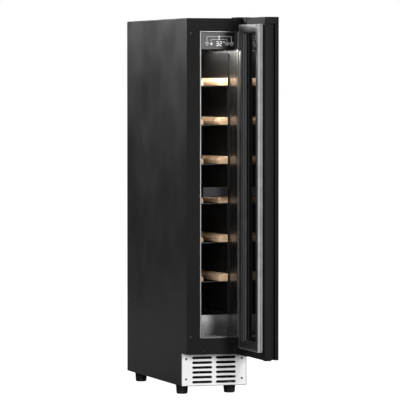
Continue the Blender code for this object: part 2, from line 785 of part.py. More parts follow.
def build_pull(front):
    """The grooved edge that the fingers pull on, with a cap on the groove's top and one at its foot."""
    left, right = PULL_X
    back = DOOR_Y[1]
    groove_end = left + PULL_GROOVE_DEPTH
    groove_front, groove_back = PULL_GROOVE_Y
    outline = [
        (left, front),
        (right, front),
        (right, back),
        (left, back),
        (left, groove_back),
        (groove_end, groove_back),
        (groove_end, groove_front),
        (left, groove_front),
    ]
    foot = DOOR_Z[0] + 2.5
    span = (foot + GAP, DOOR_Z[1] - CAP_HEIGHT - GAP)
    prism("finger_pull_profile", outline, span, "satin_black", "door")
    cap_z = (DOOR_Z[1] - CAP_HEIGHT, DOOR_Z[1])
    box("door_top_cap", PULL_X, (front, back), cap_z, "satin_black", "door")
    bottom_cap = prism("door_bottom_cap", outline, (DOOR_Z[0], foot), "satin_black", "door")
    lip_y = (groove_back + 1.0, back - 1.0)
    lip_z = (DOOR_Z[0] - 1.4, DOOR_Z[0] + 1.0)
    join(bottom_cap, box("cap_lip", wider(PULL_X, -0.8), lip_y, lip_z, frame="door"))


def build_feet():
    profile = [
        (0.0, STUD_TOP),
        (STUD_R, STUD_TOP),
        (STUD_R, SIDE_BOTTOM - GAP),
        (FOOT_TOP_R, SIDE_BOTTOM - GAP),
        (FOOT_TOP_R, SIDE_BOTTOM - 3.0),
        (FOOT_BOTTOM_R, 3.0),
        (FOOT_BOTTOM_R - 1.6, 0.0),
        (0.0, 0.0),
    ]
    names = ("front_left", "front_right", "rear_left", "rear_right")
    for name, (x, y) in zip(names, foot_places()):
        turned(f"foot_{name}", profile, (x, y, 0.0), "rubber")


def build_machinery():
    floor = PAN_Z[1] + GAP
    compressor = [
        (0.0, 122.0),
        (20.0, 121.0),
        (38.0, 116.0),
        (47.0, 107.0),
        (COMPRESSOR_R, 95.0),
        (COMPRESSOR_R, 74.0),
        (COMPRESSOR_R + 2.0, 74.0),
        (COMPRESSOR_R + 2.0, 70.0),
        (COMPRESSOR_R, 70.0),
        (COMPRESSOR_R, 50.0),
        (46.0, 41.0),
        (34.0, 36.0),
        (0.0, 36.0),
    ]
    pot = turned("compressor", compressor, (0.0, COMPRESSOR_Y, 0.0), "gloss_black", steps=28)
    plate_y = (COMPRESSOR_Y - 40.0, COMPRESSOR_Y + 40.0)
    join(pot, box("compressor_plate", (-56.0, 56.0), plate_y, COMPRESSOR_PLATE_Z))
    places = [(x, y) for x in (-50.0, 50.0) for y in (COMPRESSOR_Y - 34.0, COMPRESSOR_Y + 34.0)]
    for i, place in enumerate(places):
        span = (floor, COMPRESSOR_PLATE_Z[0] + 1.0)
        join(pot, cylinder(f"compressor_grommet_{i}", place, 5.0, span, sides=12))

    tray_x = (-TRAY_HALF, TRAY_HALF)
    tray_y = (COMPRESSOR_Y - TRAY_HALF, COMPRESSOR_Y + TRAY_HALF)
    tray = box("drip_tray", tray_x, tray_y, TRAY_Z, "dark_grey")
    hollow_z = (TRAY_Z[0] + TRAY_WALL, TRAY_Z[1] + CUT)
    cut(tray, box("tray_hollow", wider(tray_x, -TRAY_WALL), wider(tray_y, -TRAY_WALL), hollow_z))

    build_condenser_coil(floor + 6.0)
    half_depth = CONDENSER_FAN_DEPTH / 2
    span = (CONDENSER_FAN_Y - half_depth, CONDENSER_FAN_Y + half_depth)
    build_fan("condenser_fan", "shroud", CONDENSER_FAN_Z, CONDENSER_FAN_R, span, 12.0)
    box("power_board_box", *BOARD_BOX, "dark_grey", bevel=2.0)
    build_inlet()


def build_condenser_coil(lowest):
    """A tube in folded runs behind the kick plate."""
    bend_steps = 5
    points = []
    for run in range(COIL_RUNS):
        z = lowest + COIL_PITCH * run
        side = 1 if run % 2 else -1
        points += [(side * COIL_HALF, COIL_Y, z), (-side * COIL_HALF, COIL_Y, z)]
        if run == COIL_RUNS - 1:
            break
        for i in range(1, bend_steps):
            angle = math.pi * (i / bend_steps - 0.5)
            x = -side * (COIL_HALF + math.cos(angle) * COIL_PITCH / 2)
            points.append((x, COIL_Y, z + (1 + math.sin(angle)) * COIL_PITCH / 2))
    tube("condenser_coil", points, COIL_R, "coil_black")


def build_inlet():
    """A three-pin appliance inlet in the rear grille, open to the back."""
    face = DEPTH - REAR_GRILLE_SETBACK
    flange_back = face + 2.5
    inlet = box("mains_inlet", INLET_X, (face - INLET_DEPTH, face + 1.0), INLET_Z, "rubber")
    join(inlet, box("inlet_flange", wider(INLET_X, 3.0), (face + GAP, flange_back), wider(INLET_Z, 3.0)))
    socket_y = (face - INLET_DEPTH + 8.0, flange_back + CUT)
    cut(inlet, box("inlet_socket", wider(INLET_X, -3.0), socket_y, wider(INLET_Z, -3.5)))
    middle_x = sum(INLET_X) / 2
    for i, (dx, pin_z) in enumerate(INLET_PINS):
        pin_x = wider((middle_x + dx, middle_x + dx), 1.0)
        join(inlet, box(f"inlet_pin_{i}", pin_x, (face - 18.0, face - 6.0), wider((pin_z, pin_z), 2.0)))


def main():
    global parts, cutters
    clear_scene()
    parts = make_collection("wine_cooler")
    cutters = make_collection("cutters")
    make_frame("cabinet", (0.0, 0.0, 0.0))
    make_frame("door", (*PIVOT, 0.0), DOOR_OPEN)
    build_shell()
    build_cavity()
    build_control_panel()
    build_shelves()
    build_hinges()
    build_door()
    build_feet()
    build_machinery()


main()
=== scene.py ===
"""The looks of the slim wine cooler: materials, detailed pieces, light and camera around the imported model."""

import math

import bmesh
import bpy
from mathutils import Matrix, Vector


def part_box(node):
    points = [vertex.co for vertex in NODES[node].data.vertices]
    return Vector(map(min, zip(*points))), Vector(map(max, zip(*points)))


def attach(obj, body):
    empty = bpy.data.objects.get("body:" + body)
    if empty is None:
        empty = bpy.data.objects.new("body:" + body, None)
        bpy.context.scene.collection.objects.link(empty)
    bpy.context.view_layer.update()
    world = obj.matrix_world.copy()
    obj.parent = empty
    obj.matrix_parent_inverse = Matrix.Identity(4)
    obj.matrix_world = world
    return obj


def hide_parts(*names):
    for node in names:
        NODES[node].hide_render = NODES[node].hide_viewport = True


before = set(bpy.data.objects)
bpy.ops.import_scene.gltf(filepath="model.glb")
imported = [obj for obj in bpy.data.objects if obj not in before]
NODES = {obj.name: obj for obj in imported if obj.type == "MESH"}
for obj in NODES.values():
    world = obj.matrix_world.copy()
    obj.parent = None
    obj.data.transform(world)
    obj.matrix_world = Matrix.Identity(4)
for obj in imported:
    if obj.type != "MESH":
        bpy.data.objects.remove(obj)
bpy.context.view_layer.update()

MM = 0.001
FRONT_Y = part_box("front_frame")[0].y

SIDES = (("left", -1), ("right", 1))
FACE_FRONT = (0, -1, 0)
FACE_BACK = (0, 1, 0)
FACE_UP = (0, 0, 1)

# The camera stands far in front, to the left, a little lower than the cabinet's top.
CAMERA_PLACE = (-2.192, FRONT_Y - 6.940, 0.683)
CAMERA_YAW = math.radians(17.195)
CAMERA_PITCH = math.radians(2.013)
CAMERA_LENS = 303.0
CAMERA_SENSOR = 36.0
CAMERA_REACH = 60.0

WHITE = (1.0, 1.0, 1.0)
LAMP_WHITE = (1.0, 0.96, 0.90)
ROOM_LIGHT = 0.025
FLOOR_HALF_WIDTH = 14.0
FLOOR_TONE = (0.10, 0.10, 0.10)

# How far the noise behind a metal's brush lines is stretched along each axis.
BRUSHED_ALONG_X = (6.0, 500.0, 900.0)
EVEN_GRAIN = (40.0, 40.0, 40.0)

# The angle between two faces above which their edge is rounded.
SHARP_EDGE = math.radians(30)


# ---------------------------------------------------------------- materials


class Shader:
    """A Principled material with short calls for the nodes that vary it over the surface."""

    def __init__(self, name, colour, roughness, metallic=0.0, specular=0.5):
        self.material = bpy.data.materials.new(name)
        self.material.use_nodes = True
        self.tree = self.material.node_tree
        self.principled = self.tree.nodes["Principled BSDF"]
        self.set("Base Color", (*colour, 1.0))
        self.set("Roughness", roughness)
        self.set("Metallic", metallic)
        self.set("Specular IOR Level", specular)
        self.place = None

    def set(self, socket, value):
        self.principled.inputs[socket].default_value = value

    def node(self, kind, **values):
        node = self.tree.nodes.new(kind)
        for key, value in values.items():
            if key in node.inputs:
                node.inputs[key].default_value = value
            else:
                setattr(node, key, value)
        return node

    def link(self, source, target):
        self.tree.links.new(source, target)

    def coordinates(self, scale=(1.0, 1.0, 1.0)):
        """The point on the object in metres, stretched by scale."""
        if self.place is None:
            self.place = self.node("ShaderNodeTexCoord")
        mapping = self.node("ShaderNodeMapping")
        mapping.inputs["Scale"].default_value = scale
        self.link(self.place.outputs["Object"], mapping.inputs["Vector"])
        return mapping.outputs["Vector"]

    def noise(self, scale, stretch=(1.0, 1.0, 1.0), detail=3.0, roughness=0.55):
        noise = self.node("ShaderNodeTexNoise", Scale=scale, Detail=detail)
        noise.inputs["Roughness"].default_value = roughness
        self.link(self.coordinates(stretch), noise.inputs["Vector"])
        return noise.outputs["Fac"]

    def ramp(self, fac, stops):
        """A colour ramp from (position, colour) stops."""
        ramp = self.node("ShaderNodeValToRGB")
        elements = ramp.color_ramp.elements
        while len(elements) < len(stops):
            elements.new(0.5)
        for element, (position, colour) in zip(elements, stops):
            element.position = position
            element.color = (*colour, 1.0)
        self.link(fac, ramp.inputs["Fac"])
        return ramp.outputs["Color"]

    def span(self, fac, low, high, start=0.0, end=1.0):
        """Turns a value between start and end into one between low and high."""
        ranged = self.node("ShaderNodeMapRange")
        ranged.inputs["From Min"].default_value = start
        ranged.inputs["From Max"].default_value = end
        ranged.inputs["To Min"].default_value = low
        ranged.inputs["To Max"].default_value = high
        self.link(fac, ranged.inputs["Value"])
        return ranged.outputs["Result"]

    def mix(self, fac, first, second):
        """Goes from the first colour to the second, as fac goes from 0 to 1."""
        mix = self.node("ShaderNodeMix", data_type="RGBA")
        for value, index in ((fac, 0), (first, 6), (second, 7)):
            if isinstance(value, bpy.types.NodeSocket):
                self.link(value, mix.inputs[index])
            else:
                mix.inputs[index].default_value = value if index == 0 else (*value, 1.0)
        return mix.outputs[2]

    def colour(self, socket):
        self.link(socket, self.principled.inputs["Base Color"])

    def roughness(self, fac, low, high, start=0.3, end=0.7):
        self.link(self.span(fac, low, high, start, end), self.principled.inputs["Roughness"])

    def bump(self, heights, distance):
        """Bump from one or more height values, laid one over the other."""
        normal = None
        for height, strength in heights:
            bump = self.node("ShaderNodeBump", Strength=strength, Distance=distance)
            self.link(height, bump.inputs["Height"])
            if normal is not None:
                self.link(normal, bump.inputs["Normal"])
            normal = bump.outputs["Normal"]
        self.link(normal, self.principled.inputs["Normal"])


def tinted(colour, factor):
    return tuple(min(1.0, c * factor) for c in colour)


def painted_metal(name, colour, roughness, specular=0.5):
    """Powder-coated sheet: a fine orange peel with slight changes of gloss and tone."""
    s = Shader(name, colour, roughness, specular=specular)
    peel = s.noise(1400.0, detail=2.0)
    cloud = s.noise(9.0, detail=4.0)
    s.colour(s.ramp(cloud, [(0.35, tinted(colour, 0.92)), (0.7, tinted(colour, 1.10))]))
    s.roughness(cloud, roughness - 0.03, roughness + 0.05)
    s.bump([(peel, 0.25)], 0.00006)
    return s.material


def moulded_plastic(name, colour, roughness, specular=0.5):
    """Moulded plastic with a fine spark-eroded grain."""
    s = Shader(name, colour, roughness, specular=specular)
    grains = s.noise(2600.0, detail=2.0)
    cloud = s.noise(14.0, detail=3.0)
    s.colour(s.ramp(cloud, [(0.3, tinted(colour, 0.9)), (0.7, tinted(colour, 1.12))]))
    s.roughness(cloud, roughness - 0.04, roughness + 0.05)
    s.bump([(grains, 0.2)], 0.00004)
    return s.material


def liner_sheet(name, colour, coat):
    """Vacuum-formed sheet: half glossy, with faint draw lines down it and the long waves of the forming."""
    s = Shader(name, colour, 0.50, specular=0.3)
    s.set("Coat Weight", coat)
    s.set("Coat IOR", 1.7)
    draw = s.noise(1.0, stretch=(380.0, 380.0, 3.0), detail=4.0)
    wave = s.noise(16.0, detail=1.0)
    s.colour(s.ramp(draw, [(0.3, tinted(colour, 0.7)), (0.75, tinted(colour, 1.5))]))
    s.link(s.span(draw, 0.20, 0.30, 0.3, 0.7), s.principled.inputs["Coat Roughness"])
    s.bump([(wave, 0.2)], 0.0002)
    return s.material


def brushed_steel(name, colour, roughness, stretch):
    """Bare steel, whose fine lines run along the axis that stretch is smallest on."""
    s = Shader(name, colour, roughness, metallic=1.0)
    lines = s.noise(1.0, stretch=stretch, detail=6.0, roughness=0.7)
    cloud = s.noise(7.0, detail=3.0)
    shade = s.ramp(lines, [(0.32, tinted(colour, 0.84)), (0.68, tinted(colour, 1.08))])
    s.colour(s.mix(0.25, shade, s.ramp(cloud, [(0.3, tinted(colour, 0.88)), (0.7, colour)])))
    s.roughness(lines, roughness - 0.05, roughness + 0.10)
    s.bump([(lines, 0.12)], 0.00005)
    return s.material


def satin_kick(name):
    """Bead-blasted steel under a clear coat, nearly white and even, with faint brush lines along X."""
    colour = (0.76, 0.76, 0.76)
    s = Shader(name, colour, 0.55, metallic=0.15, specular=0.3)
    lines = s.noise(1.0, stretch=BRUSHED_ALONG_X, detail=6.0, roughness=0.7)
    s.colour(s.ramp(lines, [(0.32, tinted(colour, 0.93)), (0.68, tinted(colour, 1.04))]))
    s.roughness(lines, 0.5, 0.6)
    s.bump([(lines, 0.08)], 0.00004)
    return s.material


def galvanised(name):
    """Zinc-coated sheet, with its spangle."""
    colour = (0.40, 0.41, 0.42)
    s = Shader(name, colour, 0.42, metallic=0.9)
    cells = s.node("ShaderNodeTexVoronoi", Scale=110.0)
    s.link(s.coordinates(), cells.inputs["Vector"])
    shade = s.span(cells.outputs["Color"], 0.0, 1.0)
    s.colour(s.ramp(shade, [(0.1, tinted(colour, 0.80)), (0.9, tinted(colour, 1.22))]))
    s.roughness(shade, 0.36, 0.52, 0.0, 1.0)
    s.bump([(s.noise(900.0), 0.1)], 0.00005)
    return s.material


def beech(name, seed):
    """Planed beech with its grain along Y: long streaks, short dark flecks and rings on the cut ends."""
    light = (0.87, 0.63, 0.42)
    dark = (0.63, 0.37, 0.20)
    s = Shader(name, light, 0.48, specular=0.4)
    shift = s.node("ShaderNodeMapping")
    shift.inputs["Location"].default_value = (0.37 * seed, 0.61 * seed, 0.23 * seed)
    s.link(s.node("ShaderNodeTexCoord").outputs["Object"], shift.inputs["Vector"])

    def stretched(scale, stretch, detail, distortion=0.0):
        mapping = s.node("ShaderNodeMapping")
        mapping.inputs["Scale"].default_value = stretch
        s.link(shift.outputs["Vector"], mapping.inputs["Vector"])
        noise = s.node("ShaderNodeTexNoise", Scale=scale, Detail=detail, Distortion=distortion)
        s.link(mapping.outputs["Vector"], noise.inputs["Vector"])
        return noise.outputs["Fac"]

    rings = stretched(150.0, (1.0, 0.035, 1.0), 2.0, 0.6)
    fibres = stretched(900.0, (1.0, 0.02, 1.0), 3.0)
    flecks = stretched(1300.0, (1.0, 0.10, 1.0), 0.0)
    tone = s.ramp(rings, [(0.30, tinted(dark, 1.08)), (0.55, light), (0.80, tinted(light, 1.06))])
    tone = s.mix(0.22, tone, s.ramp(fibres, [(0.35, dark), (0.65, light)]))
    fleck = s.span(flecks, 0.0, 0.55, 0.66, 0.74)
    tone = s.mix(fleck, tone, tinted(dark, 0.62))
    s.colour(tone)
    s.roughness(fibres, 0.42, 0.58)
    s.bump([(fibres, 0.25), (rings, 0.15)], 0.00012)
    return s.material


def rubber(name, colour, roughness=0.6):
    """Rubber or a dull seal, with pores and a little dust."""
    s = Shader(name, colour, roughness, specular=0.35)
    pores = s.noise(1800.0, detail=4.0)
    dust = s.noise(40.0, detail=5.0)
    s.colour(s.ramp(dust, [(0.35, tinted(colour, 0.85)), (0.75, tinted(colour, 1.25))]))
    s.roughness(dust, roughness - 0.06, roughness + 0.08)
    s.bump([(pores, 0.3)], 0.00008)
    return s.material


def gasket_vinyl(name, colour):
    """Extruded vinyl with faint draw lines along its length."""
    s = Shader(name, colour, 0.42, specular=0.5)
    lines = s.noise(1.0, stretch=(2600.0, 30.0, 30.0), detail=2.0)
    s.colour(s.ramp(lines, [(0.35, tinted(colour, 0.9)), (0.65, tinted(colour, 1.1))]))
    s.roughness(lines, 0.36, 0.5)
    s.bump([(lines, 0.15)], 0.00008)
    return s.material


def dark_glass(name, colour, roughness=0.03, across=None):
    """Black-backed glass with faint smears. The sides that don't face along the across axis are dull."""
    s = Shader(name, colour, roughness)
    smear = s.noise(22.0, detail=4.0)
    s.colour(s.ramp(smear, [(0.3, tinted(colour, 0.8)), (0.75, tinted(colour, 1.3))]))
    if across is None:
        s.roughness(smear, roughness, roughness + 0.05)
        return s.material
    split = s.node("ShaderNodeSeparateXYZ")
    s.link(s.node("ShaderNodeTexCoord").outputs["Normal"], split.inputs["Vector"])
    size = s.node("ShaderNodeMath", operation="ABSOLUTE")
    s.link(split.outputs[across], size.inputs[0])
    edge, face = 0.8, 0.98
    s.link(s.span(size.outputs["Value"], 0.6, roughness, edge, face), s.principled.inputs["Roughness"])
    s.link(s.span(size.outputs["Value"], 0.08, 0.3, edge, face), s.principled.inputs["Specular IOR Level"])
    return s.material


def glowing(name, colour, strength):
    """A lit mark, a little uneven as a diffuser is."""
    body = (0.8, 0.8, 0.8)
    s = Shader(name, body, 0.4)
    s.set("Emission Color", (*colour, 1.0))
    cloud = s.noise(300.0, detail=2.0)
    s.colour(s.ramp(cloud, [(0.3, tinted(body, 0.92)), (0.7, body)]))
    s.link(s.span(cloud, 0.9 * strength, 1.1 * strength, 0.3, 0.7), s.principled.inputs["Emission Strength"])
    return s.material


def lamp_diffuser(name, strength):
    """A frosted lens that glows on its lower face only."""
    body = (0.5, 0.49, 0.46)
    s = Shader(name, body, 0.5)
    frost = s.noise(900.0, detail=2.0)
    s.colour(s.ramp(frost, [(0.3, tinted(body, 0.92)), (0.7, body)]))
    s.bump([(frost, 0.2)], 0.00005)
    s.set("Emission Color", (1.0, 0.95, 0.86, 1.0))
    split = s.node("ShaderNodeSeparateXYZ")
    s.link(s.node("ShaderNodeNewGeometry").outputs["True Normal"], split.inputs["Vector"])
    s.link(s.span(split.outputs["Z"], strength, 0.0, -1.0, -0.6), s.principled.inputs["Emission Strength"])
    return s.material


def insulation(name):
    """Blown foam, with its cells."""
    colour = (0.72, 0.62, 0.36)
    s = Shader(name, colour, 0.9)
    cells = s.node("ShaderNodeTexVoronoi", Scale=900.0)
    s.link(s.coordinates(), cells.inputs["Vector"])
    s.colour(s.ramp(cells.outputs["Distance"], [(0.0, tinted(colour, 0.75)), (0.6, colour)]))
    s.bump([(cells.outputs["Distance"], 0.5)], 0.0004)
    return s.material


# ---------------------------------------------------------------- shapes


def in_scene(name, data):
    """A new object in the scene that holds the data."""
    obj = bpy.data.objects.new(name, data)
    bpy.context.scene.collection.objects.link(obj)
    return obj


def keep(mesh, name, body, material, replaces=()):
    """Makes a piece of a finished mesh, with its material and body, and hides the parts that it stands for."""
    obj = in_scene(name, mesh)
    obj.data.materials.clear()
    obj.data.materials.append(material)
    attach(obj, body)
    if replaces:
        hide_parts(*replaces)


def shade_smooth_below(mesh, degrees):
    """Shades a mesh as curved, with a crease wherever two faces meet at more than this angle."""
    mesh.shade_smooth()
    mesh.set_sharp_from_angle(angle=math.radians(degrees))


def mesh_from(bm, name, smooth_angle=35.0):
    mesh = bpy.data.meshes.new(name)
    bm.to_mesh(mesh)
    bm.free()
    shade_smooth_below(mesh, smooth_angle)
    return mesh


def ease_edges(bm, width, segments):
    """Rounds every sharp edge by width."""
    sharp = [edge for edge in bm.edges if edge.calc_face_angle(0.0) > SHARP_EDGE]
    bmesh.ops.bevel(bm, geom=sharp, offset=width, segments=segments, affect="EDGES", profile=0.5)


def prism(bm, outline, low, high, axis):
    """Adds a closed outline, given across an axis, drawn out along it from low to high."""
    order = {"X": (2, 0, 1), "Y": (0, 2, 1), "Z": (0, 1, 2)}[axis]

    def corner(u, v, w):
        values = (u, v, w)
        return [values[i] for i in order]

    bottom = [bm.verts.new(corner(u, v, low)) for u, v in outline]
    top = [bm.verts.new(corner(u, v, high)) for u, v in outline]
    count = len(outline)
    bm.faces.new(list(reversed(bottom)))
    bm.faces.new(top)
    for i in range(count):
        j = (i + 1) % count
        bm.faces.new((bottom[i], bottom[j], top[j], top[i]))
    bmesh.ops.recalc_face_normals(bm, faces=bm.faces)


def lathe(profile, segments):
    """A turned solid round Z from (radius, height) points, from the top of the axis to its bottom."""
    bm = bmesh.new()
    rings = []
    for radius, height in profile:
        if radius == 0.0:
            rings.append([bm.verts.new((0.0, 0.0, height))])
            continue
        ring = []
        for i in range(segments):
            angle = 2 * math.pi * i / segments
            ring.append(bm.verts.new((radius * math.cos(angle), radius * math.sin(angle), height)))
        rings.append(ring)
    for upper, lower in zip(rings, rings[1:]):
        for i in range(segments):
            j = (i + 1) % segments
            left = (upper[i % len(upper)], lower[i % len(lower)])
            right = (lower[j % len(lower)], upper[j % len(upper)])
            unique = list(dict.fromkeys(left + right))
            if len(unique) > 2:
                bm.faces.new(unique)
    bmesh.ops.recalc_face_normals(bm, faces=bm.faces)
    return bm


def soften(node, width, material):
    """Welds a CAD node's mesh, rounds its sharp edges by width and gives it a material."""
    obj = NODES[node]
    weld = obj.modifiers.new("weld", "WELD")
    weld.merge_threshold = 0.00002
    if width:
        bevel = obj.modifiers.new("round_edges", "BEVEL")
        bevel.width = width
        bevel.segments = 2
        bevel.limit_method = "ANGLE"
        bevel.angle_limit = math.radians(40.0)
        bevel.use_clamp_overlap = True
        # The large flat faces keep their own normals, so that only the rounded edges shade as curves.
        weighted = obj.modifiers.new("flat_faces", "WEIGHTED_NORMAL")
        weighted.weight = 100
        weighted.keep_sharp = True
        obj.data.shade_smooth()
    else:
        obj.data.shade_flat()
    obj.data.materials.clear()
    obj.data.materials.append(material)


def aim(normal):
    """The rotation that turns +Z to a level normal, with +Y up. It fails on a normal that points up."""
    z = Vector(normal).normalized()
    x = Vector(FACE_UP).cross(z).normalized()
    y = z.cross(x)
    return Matrix((x, y, z)).transposed().to_4x4()


def pan_screw(name, place, normal, body, material, radius=0.0026, height=0.0009, turn=0.3):
    """A pan-head screw with a cross recess, seated on a face."""
    steps = 6
    rim = 0.25
    profile = [(0.0, height)]
    for i in range(1, steps + 1):
        angle = math.pi / 2 * i / steps
        profile.append((radius * math.sin(angle), height * (rim + (1 - rim) * math.cos(angle))))
    profile += [(radius, 0.0), (0.0, 0.0)]
    head = in_scene(name + "_head", mesh_from(lathe(profile, 32), name))
    arm = radius * 0.62
    width = radius * 0.13
    depth = height * 0.65
    cross = bmesh.new()
    outline = [
        (width, width), (width, arm), (-width, arm), (-width, width), (-arm, width), (-arm, -width),
        (-width, -width), (-width, -arm), (width, -arm), (width, -width), (arm, -width), (arm, width),
    ]
    prism(cross, outline, height - depth, height * 2, "Z")
    cutter = in_scene(name + "_cut", mesh_from(cross, name + "_cut"))
    mesh = cut_mesh(head, cutter)
    mesh.transform(aim(normal) @ Matrix.Rotation(turn, 4, "Z"))
    mesh.transform(Matrix.Translation(place))
    keep(mesh, name, body, material)


def evaluated_mesh(obj):
    """A new mesh of the object as its modifiers and its bevel leave it."""
    bpy.context.view_layer.update()
    graph = bpy.context.evaluated_depsgraph_get()
    return bpy.data.meshes.new_from_object(obj.evaluated_get(graph))


def cut_mesh(obj, cutter):
    """The mesh of the object less the cutter. Both objects are used up."""
    modifier = obj.modifiers.new("cut", "BOOLEAN")
    modifier.object = cutter
    modifier.operation = "DIFFERENCE"
    mesh = evaluated_mesh(obj)
    bpy.data.objects.remove(obj)
    bpy.data.objects.remove(cutter)
    shade_smooth_below(mesh, 35.0)
    return mesh


def at(x, y, z):
    """A point given in millimetres across the front, back from the front plane and up from the floor."""
    return Vector((x * MM, FRONT_Y + y * MM, z * MM))


# ---------------------------------------------------------------- the object


def make_materials():
    paint = (0.013, 0.013, 0.0138)
    return {
        "panel": painted_metal("panel_paint", paint, 0.34),
        "top": painted_metal("top_paint", paint, 0.6, specular=0.15),
        "front": painted_metal("front_paint", (0.0042, 0.0042, 0.0044), 0.55, specular=0.11),
        "bracket": painted_metal("bracket_paint", (0.006, 0.006, 0.006), 0.5, specular=0.2),
        "door": painted_metal("door_paint", (0.0045, 0.0045, 0.0047), 0.5, specular=0.11),
        "zinc": galvanised("zinc_sheet"),
        "trim": brushed_steel("trim_steel", (0.17, 0.17, 0.17), 0.36, EVEN_GRAIN),
        "liner": liner_sheet("liner_sheet", (0.006, 0.006, 0.0063), 1.0),
        "rack": liner_sheet("rack_plastic", (0.0025, 0.0025, 0.0026), 0.12),
        "step": brushed_steel("step_steel", (0.145, 0.145, 0.147), 0.44, (8.0, 500.0, 500.0)),
        "kick": satin_kick("kick_steel"),
        "plastic": moulded_plastic("black_plastic", (0.014, 0.014, 0.015), 0.45),
        "grey": moulded_plastic("grey_plastic", (0.017, 0.018, 0.020), 0.5, specular=0.22),
        "control": dark_glass("control_glass_black", (0.003, 0.003, 0.0032), 0.29),
        "outer_glass": dark_glass("outer_glass_black", (0.006, 0.006, 0.007), across="X"),
        "inner_glass": dark_glass("inner_glass_black", (0.003, 0.003, 0.0035), across="X"),
        "lamp": lamp_diffuser("lamp_light", 0.6),
        "mark": glowing("mark_light", (0.86, 0.92, 1.0), 0.30),
        "digit": glowing("digit_light", (0.92, 0.96, 1.0), 0.62),
        "gasket": gasket_vinyl("gasket_grey", (0.028, 0.028, 0.029)),
        "gasket_rib": rubber("gasket_silver", (0.27, 0.27, 0.27), 0.5),
        "gasket_lip": rubber("gasket_lip_grey", (0.10, 0.10, 0.10), 0.5),
        # The kick plate's dark edge bead is a painted shade along the plate's rounded edges.
        "edge": rubber("edge_shade_grey", (0.05, 0.05, 0.05), 0.6),
        "foot": rubber("foot_rubber", (0.010, 0.010, 0.010)),
        "shelf": painted_metal("shelf_paint", (0.010, 0.010, 0.010), 0.4),
        "fin": brushed_steel("fin_metal", (0.72, 0.73, 0.74), 0.35, (30.0, 30.0, 4.0)),
        "coil": painted_metal("coil_paint", (0.010, 0.010, 0.010), 0.45, specular=0.3),
        "enamel": painted_metal("compressor_enamel", (0.008, 0.008, 0.008), 0.2),
        "foam": insulation("foam_yellow"),
        "screw": brushed_steel("screw_steel", (0.35, 0.35, 0.36), 0.34, (300.0, 300.0, 300.0)),
        "frame_screw": painted_metal("frame_screw_black", (0.006, 0.006, 0.006), 0.42, specular=0.3),
        "black_screw": painted_metal("screw_black", (0.02, 0.02, 0.02), 0.3),
    }


def dress_cabinet(m):
    for side, _ in SIDES:
        soften(f"{side}_side_panel", 0.0004, m["panel"])
    soften("top_panel", 0.0004, m["top"])
    soften("back_panel", 0.0004, m["zinc"])
    soften("rear_grille", 0.0003, m["zinc"])
    soften("base_pan", 0.0003, m["zinc"])
    soften("front_frame", 0.0004, m["front"])
    soften("opening_trim", 0.0007, m["trim"])
    soften("kick_grille", 0.0003, m["kick"])
    soften("insulation_foam", 0.0, m["foam"])
    soften("inner_liner", 0.0, m["liner"])
    soften("evaporator_cover", 0.0005, m["liner"])
    for side, _ in SIDES:
        soften(f"{side}_shelf_rack", 0.0004, m["rack"])
    soften("evaporator_plate", 0.0, m["fin"])
    soften("circulation_fan_frame", 0.0006, m["plastic"])
    soften("circulation_fan_rotor", 0.0002, m["plastic"])


def dress_machinery(m):
    soften("compressor", 0.0004, m["enamel"])
    soften("condenser_coil", 0.0, m["coil"])
    soften("condenser_fan_shroud", 0.0006, m["plastic"])
    soften("condenser_fan_rotor", 0.0002, m["plastic"])
    soften("drip_tray", 0.0005, m["plastic"])
    soften("power_board_box", 0.0, m["plastic"])
    soften("mains_inlet", 0.0004, m["plastic"])


def add_screws(m):
    """The screws of the front frame, the kick plate, the back, the rear grille and the top hinge bracket."""
    proud = -0.02
    kick_plane = 40.0
    for side, sign in SIDES:
        for height, z in (("top", 787.4), ("bottom", 131.2)):
            pan_screw(f"frame_screw_{height}_{side}", at(sign * 65.2, proud, z), FACE_FRONT, "cabinet",
                      m["frame_screw"], height=0.00022, turn=0.4 * sign)
        for height, z in (("upper", 815.5), ("lower", 100.6)):
            pan_screw(f"frame_screw_{height}_{side}", at(sign * 35.9, 0.0, z), FACE_FRONT, "cabinet",
                      m["frame_screw"], radius=0.0021, turn=0.7 * sign)
        for height, z in (("upper", 80.5), ("lower", 36.4)):
            pan_screw(f"kick_screw_{height}_{side}", at(sign * 63.5, kick_plane, z), FACE_FRONT, "cabinet",
                      m["black_screw"], radius=0.0024, turn=0.2 + 0.5 * sign)

    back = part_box("back_panel")[1].y
    first_z, pitch = 0.150, 0.130
    for i in range(6):
        for side, sign in SIDES:
            place = (sign * 0.0655, back, first_z + pitch * i)
            pan_screw(f"back_screw_{side}_{i}", place, FACE_BACK, "cabinet", m["screw"])

    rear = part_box("rear_grille")[1].y
    for side, sign in SIDES:
        for i, z in enumerate((0.030, 0.127)):
            pan_screw(f"rear_screw_{side}_{i}", (sign * 0.064, rear, z), FACE_BACK, "cabinet", m["screw"])

    # A known fault: aim() fails on these, so each one is a single point and doesn't show.
    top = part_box("hinge_bracket_top")[1].z
    for i, (x, y) in enumerate(((42.0, 8.0), (42.0, 21.0), (64.0, 14.0))):
        place = at(x, y, 0.0)
        place.z = top
        pan_screw(f"hinge_screw_{i}", place, FACE_UP, "cabinet", m["screw"], height=0.0, turn=0.3 * i)


